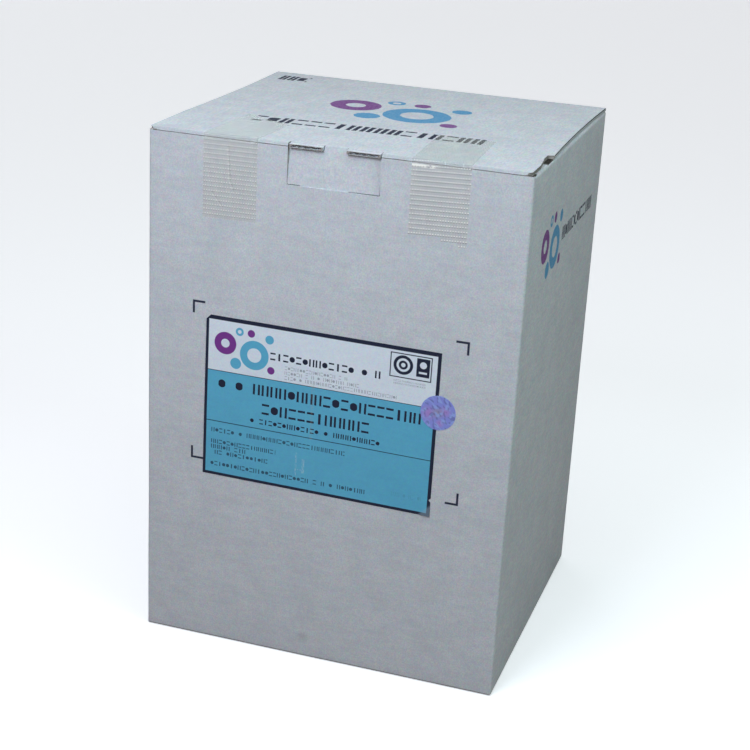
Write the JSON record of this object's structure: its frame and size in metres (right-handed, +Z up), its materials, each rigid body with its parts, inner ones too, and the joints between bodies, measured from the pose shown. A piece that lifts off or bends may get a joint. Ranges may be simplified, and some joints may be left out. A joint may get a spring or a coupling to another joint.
{
  "type": "washing powder box",
  "caption": "Sealed upright carton of washing powder in white-lined corrugated board, with a taped tuck lid, a lock cut-out at the front, a wide label and a round foil seal.",
  "frame": {"origin": "middle of the carton's footprint, on the floor", "axes": "+Z up; the front panel with the label faces -Y; +X is to the right as seen from the front"},
  "size_m": [0.33, 0.2962, 0.4683],
  "materials": {
    "white_board": "matte mottled white liner",
    "label_paper": "satin printed paper, white and blue bands in a dark border",
    "foil": "shiny violet-blue foil with fine glints",
    "strapping_tape": "clear film over woven threads"
  },
  "bodies": {
    "root": {"carton": "white_board", "label": "label_paper", "seal": "foil", "tape_left": "strapping_tape", "tape_right": "strapping_tape"}
  },
  "joints": []
}
